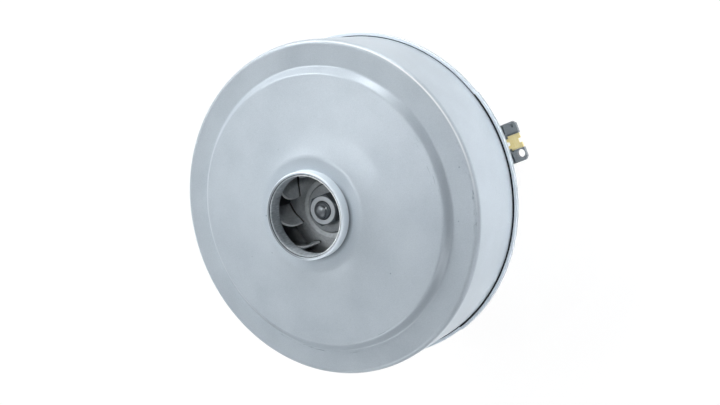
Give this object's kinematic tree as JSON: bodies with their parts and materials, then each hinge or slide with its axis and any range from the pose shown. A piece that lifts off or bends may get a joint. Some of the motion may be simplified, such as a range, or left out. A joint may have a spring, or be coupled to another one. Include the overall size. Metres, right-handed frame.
{
  "type": "vacuum motor unit",
  "caption": "Vacuum cleaner motor: a pressed-steel fan casing with a round air inlet over a bladed impeller, on a brushed commutator motor in a vented cup housing.",
  "frame": {"origin": "centre of the rear bearing boss, on its outer face", "axes": "+Z along the shaft towards the air inlet, X along the two brushes"},
  "size_m": [0.1358, 0.135, 0.1179],
  "materials": {
    "coated_steel": "pressed zinc-coated steel sheet, satin",
    "housing_steel": "drawn zinc-coated steel sheet, satin",
    "seal_plastic": "moulded grey plastic, fine grain",
    "cast_aluminium": "die-cast aluminium, as cast",
    "sheet_aluminium": "pressed aluminium sheet, mill finish",
    "zinc_steel": "zinc-plated steel",
    "ground_steel": "ground steel",
    "bearing_steel": "polished bearing steel",
    "cage_brass": "pressed brass",
    "shield_steel": "pressed steel sheet",
    "spring_steel": "drawn spring steel",
    "diffuser_plastic": "moulded dark plastic",
    "lamination_steel": "stacked electrical steel",
    "former_plastic": "moulded ivory plastic",
    "enamelled_copper": "enamelled copper wire",
    "insulation_fibre": "pressed fibre",
    "commutator_moulding": "moulded phenolic",
    "copper": "bare copper",
    "holder_plastic": "moulded dark grey plastic",
    "brass": "brushed brass sheet",
    "carbon": "pressed carbon",
    "lead_insulation": "plastic-insulated wire"
  },
  "bodies": {
    "casing": {"fan_cover": "coated_steel", "inlet_seal_ring": "seal_plastic", "diffuser": "diffuser_plastic", "front_bracket": "coated_steel", "motor_housing": "housing_steel", "flange_screws": "zinc_steel", "front_bearing_outer_ring": "bearing_steel", "front_bearing_shields": "shield_steel", "rear_bearing_outer_ring": "bearing_steel", "rear_bearing_shields": "shield_steel", "wave_washer": "spring_steel", "stator_core": "lamination_steel", "coil_former_upper": "former_plastic", "coil_former_lower": "former_plastic", "field_coil_upper": "enamelled_copper", "field_coil_lower": "enamelled_copper", "brush_holder_right": "holder_plastic", "brush_holder_left": "holder_plastic", "holder_screws": "zinc_steel", "brush_tube_right": "brass", "brush_tube_left": "brass", "brush_spring_right": "spring_steel", "brush_spring_left": "spring_steel", "brush_lead_right": "copper", "brush_lead_left": "copper", "brush_terminal_right": "brass", "brush_terminal_left": "brass", "field_lead_right": "lead_insulation", "field_lead_left": "lead_insulation"},
    "rotor": {"shaft": "ground_steel", "inducer": "cast_aluminium", "impeller_front_shroud": "sheet_aluminium", "impeller_blades": "sheet_aluminium", "impeller_back_plate": "sheet_aluminium", "impeller_washer": "zinc_steel", "impeller_nut": "zinc_steel", "impeller_spacer": "ground_steel", "front_bearing_inner_ring": "bearing_steel", "rear_bearing_inner_ring": "bearing_steel", "armature_core": "lamination_steel", "armature_insulators": "insulation_fibre", "armature_winding": "enamelled_copper", "commutator_hub": "commutator_moulding", "commutator_bars": "copper"},
    "front_balls": {"front_bearing_balls": "bearing_steel", "front_bearing_cage": "cage_brass"},
    "rear_balls": {"rear_bearing_balls": "bearing_steel", "rear_bearing_cage": "cage_brass"},
    "brush_right": {"carbon_brush_right": "carbon"},
    "brush_left": {"carbon_brush_left": "carbon"}
  },
  "joints": [
    {"name": "rotor_spin", "type": "hinge", "parent": "casing", "child": "rotor", "pos_m": [0, 0, 0.048], "axis": [0, 0, 1], "continuous": true},
    {"name": "front_balls_roll", "type": "hinge", "parent": "casing", "child": "front_balls", "pos_m": [0, 0, 0.0745], "axis": [0, 0, 1], "continuous": true},
    {"name": "rear_balls_roll", "type": "hinge", "parent": "casing", "child": "rear_balls", "pos_m": [0, 0, 0.0059], "axis": [0, 0, 1], "continuous": true},
    {"name": "brush_right_slide", "type": "slide", "parent": "casing", "child": "brush_right", "axis": [1, 0, 0], "range_m": [0, 0.006], "stiffness_N_per_m": 100, "springref_m": -0.03, "deforming": ["brush_spring_right", "brush_lead_right"]},
    {"name": "brush_left_slide", "type": "slide", "parent": "casing", "child": "brush_left", "axis": [-1, 0, 0], "range_m": [0, 0.006], "stiffness_N_per_m": 100, "springref_m": -0.03, "deforming": ["brush_spring_left", "brush_lead_left"]}
  ],
  "couplings": [
    {"joint": "front_balls_roll", "follows": "rotor_spin", "ratio": 0.36767},
    {"joint": "rear_balls_roll", "follows": "rotor_spin", "ratio": 0.36767}
  ]
}
